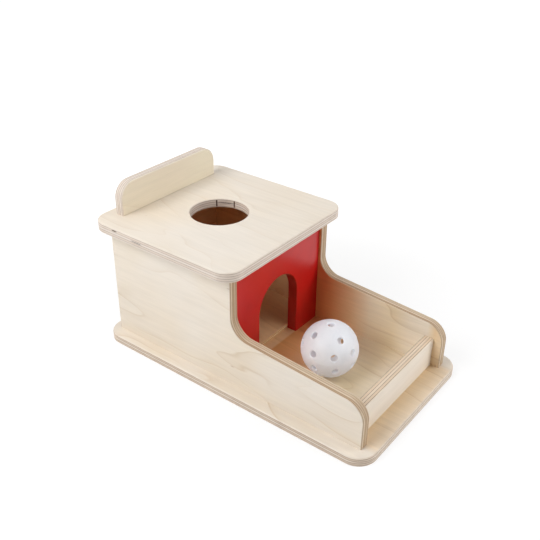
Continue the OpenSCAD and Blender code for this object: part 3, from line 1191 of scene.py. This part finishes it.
@dataclass
class Lid(Woodwork):
    """The top board with the ball hole, and the backstop that stands on it."""

    beech: Beech
    corner_mm: float = 15.5
    rim_mm: float = 1.2
    under_rim_mm: float = 0.5
    hole_mm: float = 52.5
    hole_rim_mm: float = 1.2
    hole_margin_mm: float = 0.05
    hole_back_mm: float = 77.5
    stop_corner_mm: float = 15.0
    stop_foot_mm: float = 0.5
    gaps: tuple[CoreGap, ...] = (
        CoreGap((-114.0, -81.3, 121.3), (3.2, 3.0, 0.5), -3.0),
        CoreGap((-87.7, -81.3, 118.8), (6.6, 2.4, 0.24), 0.0),
        CoreGap((-78.6, 23.2, 119.2), (10.0, 2.5, 0.34), 28.0),
    )

    def build(self) -> None:
        """Models the top board and the backstop, and dresses the dowels."""
        self.top_board()
        self.backstop()
        for node in ("top_dowels", "backstop_dowels"):
            self.dress(node, self.beech.material(node, Lie.FLAT), "beech")

    def top_board(self) -> None:
        """Models the top board: round corners, soft rims, the ball hole and three small core gaps."""
        low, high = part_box("top_board")
        board = add_block("top_board_made", low, high)
        round_plate(board, low, high, self.corner_mm, self.rim_mm, self.under_rim_mm)
        radius = self.hole_mm * MM / 2
        middle = Vector((low.x + self.hole_back_mm * MM, 0, (low.z + high.z) / 2))
        cut_away(board, add_shape(bpy.ops.mesh.primitive_cylinder_add, "ball_hole", vertices=128,
                                  radius=radius, depth=3 * OVERRUN, location=middle))

        def on_hole(point: Vector) -> bool:
            """Keeps the edges on the rim of the ball hole."""
            return abs((point.xy - middle.xy).length - radius) < self.hole_margin_mm * MM

        round_edges(board, edge_in(Z, (low.z, high.z), on_hole), self.hole_rim_mm, RIM_STEPS)
        for gap in self.gaps:
            cut_away(board, add_shape(bpy.ops.mesh.primitive_uv_sphere_add, "gap", gap.size_mm, segments=24,
                                      ring_count=12, radius=MM, location=Vector(gap.place_mm) * MM,
                                      rotation=(0, 0, math.radians(gap.turn_deg))))
        self.settle_board(board, "top_board", Lie.FLAT, seed=6.0, figure=0.3, edge=Edge.PALE)
        # The gaps' faces get a near black-brown material, as painted shade
        coat(board, self.plywood.gap_shade_material(),
             lambda face: any(gap.holds(face.calc_center_median()) for gap in self.gaps))

    def backstop(self) -> None:
        """Models the backstop: a board on edge with two round upper corners."""
        low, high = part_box("backstop")
        board = add_block("backstop_made", low, high)
        for y in (low.y, high.y):
            round_edges(board, edge_along(X, (Y, y), (Z, high.z)), self.stop_corner_mm, CORNER_STEPS)
        round_edges(board, edge_in(X, (low.x, high.x), lambda middle: middle.z > low.z + TOUCH),
                    self.rim_mm, RIM_STEPS)
        round_edges(board, edge_in(Z, (low.z,)), self.stop_foot_mm, ARRIS_STEPS)
        self.settle_board(board, "backstop", Lie.CROSS, seed=7.7, veneer="#EBE0C8", figure=0.35,
                          edge=Edge.PALE)


@dataclass
class TrayFront(Woodwork):
    """The low wall that closes the front of the tray."""

    rim_mm: float = 0.6

    def build(self) -> None:
        """Models the wall with its two upper edges softened."""
        low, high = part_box("tray_front_wall")
        board = add_block("tray_front_wall_made", low, high)
        round_edges(board, edge_along(Y, (Z, high.z)), self.rim_mm, SOFT_STEPS)
        # The tray's front wall takes none of the painted shade inside
        self.settle_board(board, "tray_front_wall", Lie.CROSS, seed=8.5, figure=0.4, bared=0.0,
                          glue_lines=(0.06, 0.335, 0.61, 0.885), edge=Edge.LINED)


@dataclass
class PerforatedBall(Assembly):
    """The hollow ball: two moulded halves welded round the middle, with a ring pattern of holes."""

    plastic: MouldedPolyethylene
    radius_mm: float = 25.0
    wall_mm: float = 1.6
    weld_mm: float = 0.35
    bead_mm: float = 0.1
    vent_mm: float = 6.0
    lip_mm: float = 0.55
    lip_step_deg: float = 17.0
    lip_steps: int = 5
    flare_mm: float = 0.9
    past_wall_mm: float = 1.0
    turn_deg: float = -3.3
    passed_outside: float = 0.38
    passed_inside: float = 0.9
    rings: tuple[tuple[int, float, float], ...] = (
        (1, 90.0, 0.0), (4, 49.0, 67.5), (8, 16.0, 0.0), (8, -16.0, 4.0), (4, -49.0, 26.5), (1, -90.0, 0.0))

    def build(self) -> None:
        """Models the ball at the middle of the frame and sets it where it rests."""
        ball = add_shape(bpy.ops.mesh.primitive_uv_sphere_add, "ball_made", segments=144, ring_count=72,
                         radius=self.radius_mm * MM)
        round_edges(ball, edge_in(Z, (0.0,)), self.weld_mm, ARRIS_STEPS)
        with editing(ball):
            select(ball, Part.EDGES, edge_in(Z, (0.0,)))
            grow = 1 + self.bead_mm / self.radius_mm
            bpy.ops.transform.resize(value=(grow, grow, 1), center_override=(0, 0, 0))
        apply_modifier(ball, "SOLIDIFY", thickness=self.wall_mm * MM, offset=-1.0)
        turns = [(90 - up, turn + self.turn_deg + 360.0 * i / number)
                 for number, up, turn in self.rings for i in range(number)]
        cut_away(ball, copies_at(self.vent_cutter(), [
            Euler((0, math.radians(tip), math.radians(turn))).to_matrix().to_4x4() for tip, turn in turns]))
        smooth(ball, angle_deg=40.0, weighted=False)
        low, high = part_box("ball")
        middle = (low + high) / 2
        ball.location = middle
        fix_place(ball)
        outside = self.plastic.material("white_polyethylene", self.passed_outside)
        self.settle(ball, outside, "ball", "white_plastic", body="ball")
        skin = (self.radius_mm - self.wall_mm / 2) * MM
        coat(ball, self.plastic.material("white_polyethylene_inside", self.passed_inside),
             lambda face: (face.calc_center_median() - middle).length < skin)

    def vent_cutter(self) -> Object:
        """Models the shape that one hole takes out of the wall: a round bar that flares at the outside.

        Returns:
            The cutter, which stands on the Z axis.
        """
        bore = self.vent_mm / 2
        flare = bore + self.lip_mm
        seat = math.sqrt((self.radius_mm - self.lip_mm) ** 2 - flare ** 2)
        foot = self.radius_mm - self.wall_mm - self.past_wall_mm
        cutter = add_shape(bpy.ops.mesh.primitive_cylinder_add, "vent", vertices=36, radius=bore * MM,
                           depth=(seat - foot) * MM, location=(0, 0, (seat + foot) / 2 * MM))
        angles = [math.radians(180 - self.lip_step_deg * (step + 1)) for step in range(self.lip_steps)]
        rings = [(flare + self.lip_mm * math.cos(a), seat + self.lip_mm * math.sin(a)) for a in angles]
        last = angles[-1] - math.pi / 2
        wide = rings[-1][0] + self.flare_mm * math.cos(last)
        rings += [(wide, rings[-1][1] + self.flare_mm * math.sin(last)),
                  (wide, self.radius_mm + self.past_wall_mm)]
        draw_up(cutter, bore, seat, rings)
        turn_outwards(cutter)
        return cutter


# Studio


def direction(azimuth_deg: float, elevation_deg: float) -> Vector:
    """Gives the unit vector that points out to an azimuth, counted from the X axis, and an elevation."""
    turn, rise = math.radians(azimuth_deg), math.radians(elevation_deg)
    return Vector((math.cos(turn) * math.cos(rise), math.sin(turn) * math.cos(rise), math.sin(rise)))


@dataclass(frozen=True)
class PhotoCamera:
    """The camera that the photograph was taken with, as fitted to the box's edges."""

    azimuth_deg: float = -52.887
    elevation_deg: float = 30.676
    roll_deg: float = 0.749
    distance_mm: float = 649.6
    target_mm: tuple[float, float, float] = (-3.27, -7.77, 89.87)
    lens_mm: float = 50.38
    sensor_mm: float = 36.0
    clip_m: tuple[float, float] = (0.01, 50.0)

    def place(self) -> None:
        """Sets the scene's camera."""
        back = direction(self.azimuth_deg, self.elevation_deg)
        level = (-back).cross(Vector((0, 0, 1))).normalized()
        upright = level.cross(-back)
        roll = math.radians(self.roll_deg)
        right = level * math.cos(roll) + upright * math.sin(roll)
        up = upright * math.cos(roll) - level * math.sin(roll)
        data = bpy.data.cameras.new("photo_camera")
        data.lens, data.sensor_width = self.lens_mm, self.sensor_mm
        data.clip_start, data.clip_end = self.clip_m
        camera = bpy.data.objects.new("photo_camera", data)
        bpy.context.scene.collection.objects.link(camera)
        spot = Vector(self.target_mm) * MM + back * self.distance_mm * MM
        axes = Matrix((right, up, back)).transposed().to_4x4()
        camera.matrix_world = Matrix.Translation(spot) @ axes
        bpy.context.scene.camera = camera


@dataclass(frozen=True)
class Softbox:
    """A studio light: an evenly lit cloth that faces the middle of the box from one direction."""

    name: str
    azimuth_deg: float
    elevation_deg: float
    width_m: float
    height_m: float
    level: float
    distance_m: float = 1.4
    target_m: tuple[float, float, float] = (0.0, 0.0, 0.06)

    def hang(self) -> None:
        """Hangs the light, at a power that gives its cloth the wanted level."""
        data = bpy.data.lights.new(self.name, "AREA")
        data.shape, data.size, data.size_y = "RECTANGLE", self.width_m, self.height_m
        data.energy = self.level * math.pi * self.width_m * self.height_m
        lamp = bpy.data.objects.new(self.name, data)
        bpy.context.scene.collection.objects.link(lamp)
        lamp.visible_camera = False
        away = direction(self.azimuth_deg, self.elevation_deg)
        spot = Vector(self.target_m) + away * self.distance_m
        lamp.matrix_world = Matrix.Translation(spot) @ away.to_track_quat("Z", "Y").to_matrix().to_4x4()


@dataclass(frozen=True)
class Studio:
    """A white cove with soft lights: a pale floor, a white surround and the softboxes."""

    floor_m: float = 12.0
    floor_drop_mm: float = 0.02
    floor_grey: str = "#EFEFEF"
    floor_shade: float = 0.26
    floor_glow: float = 0.78
    floor_glow_m: tuple[float, float] = (0.22, 0.7)
    white: tuple[float, float, float, float] = (1.0, 1.0, 1.0, 1.0)
    world_level: float = 0.01
    softboxes: tuple[Softbox, ...] = (
        Softbox("key_left", -110.0, 41.0, 0.86, 0.8, 6.5),
        Softbox("back_left", -160.0, 47.0, 1.3, 1.0, 0.8),
        Softbox("front_right_low", 26.0, 12.5, 1.3, 0.58, 3.8),
        Softbox("front_right_high", 38.0, 38.0, 1.0, 0.7, 2.25),
        Softbox("back_right", 135.0, 56.0, 1.4, 0.8, 1.05),
        Softbox("low_left", -110.0, 22.0, 0.9, 0.5, 0.45),
        Softbox("overhead", 0.0, 86.0, 1.0, 1.0, 0.45),
    )

    def build(self) -> None:
        """Lays the floor, sets the surround and hangs the lamps."""
        bpy.context.scene.view_settings.view_transform = "Standard"
        self.lay_floor()
        self.set_surround()
        for softbox in self.softboxes:
            softbox.hang()

    def seen(self, tree: NodeTree) -> Node:
        """Adds the test for rays that show the background itself: straight, in gloss or through glass.

        Args:
            tree: The node tree.

        Returns:
            The node that gives 1 for such rays.
        """
        rays = add_node(tree, "LightPath").outputs
        first = add_node(tree, "Math", [rays["Is Camera Ray"], rays["Is Glossy Ray"]], operation="MAXIMUM")
        return add_node(tree, "Math", [first, rays["Is Transmission Ray"]], operation="MAXIMUM")

    def lay_floor(self) -> None:
        """Lays the pale floor, which shows near white and keeps a soft shadow."""
        bpy.ops.object.select_all(action="DESELECT")
        bpy.ops.mesh.primitive_plane_add(size=self.floor_m, location=(0, 0, -self.floor_drop_mm * MM))
        floor = bpy.context.active_object
        floor.name = "studio_floor"
        with editing(floor):
            bpy.ops.mesh.select_all(action="SELECT")
            bpy.ops.mesh.subdivide(number_cuts=3)
        material, tree, place = new_material("white_paper_floor")
        lit = add_node(tree, "BsdfDiffuse", {"Color": linear(self.floor_grey)})
        shade = add_node(tree, "BsdfDiffuse", {"Color": (*[self.floor_shade] * 3, 1.0)})
        away = add_node(tree, "VectorMath", [place], operation="LENGTH")
        level = add_node(tree, "MapRange", [away, *self.floor_glow_m, self.floor_glow, 1.0])
        glow = add_node(tree, "Emission", {"Color": self.white, "Strength": level})
        shown = add_node(tree, "AddShader", [shade, glow])
        add_node(tree, "OutputMaterial", [add_node(tree, "MixShader", [self.seen(tree), lit, shown])])
        floor.data.materials.append(material)

    def set_surround(self) -> None:
        """Sets the surround: white where it is seen, and a plain soft light on the box."""
        world = bpy.data.worlds.new("white_surround")
        world.use_nodes = True
        tree = world.node_tree
        tree.nodes.clear()
        lit, shown = (add_node(tree, "Background", {"Color": self.white, "Strength": level})
                      for level in (self.world_level, 1.0))
        add_node(tree, "OutputWorld", [add_node(tree, "MixShader", [self.seen(tree), lit, shown])])
        bpy.context.scene.world = world


def main() -> None:
    """Sets the camera and studio, then builds each sub-assembly and reports its pieces."""
    logging.basicConfig(level=logging.INFO, format="%(name)s: %(message)s")
    PhotoCamera().place()
    Studio().build()
    plywood, beech, steel = BirchPlywood(), Beech(), ZincPlatedSteel()
    assemblies = (
        Footing(plywood, steel),
        SidePanels(plywood),
        Doorway(plywood, RedGlossPaint(), beech, steel),
        Lid(plywood, beech),
        TrayFront(plywood),
        PerforatedBall(MouldedPolyethylene()),
    )
    for assembly in assemblies:
        assembly.build()
        for piece in assembly.pieces:
            log.info("%s: %s, %d faces", type(assembly).__name__, piece.name, len(piece.data.polygons))


if __name__ == "__main__":
    main()
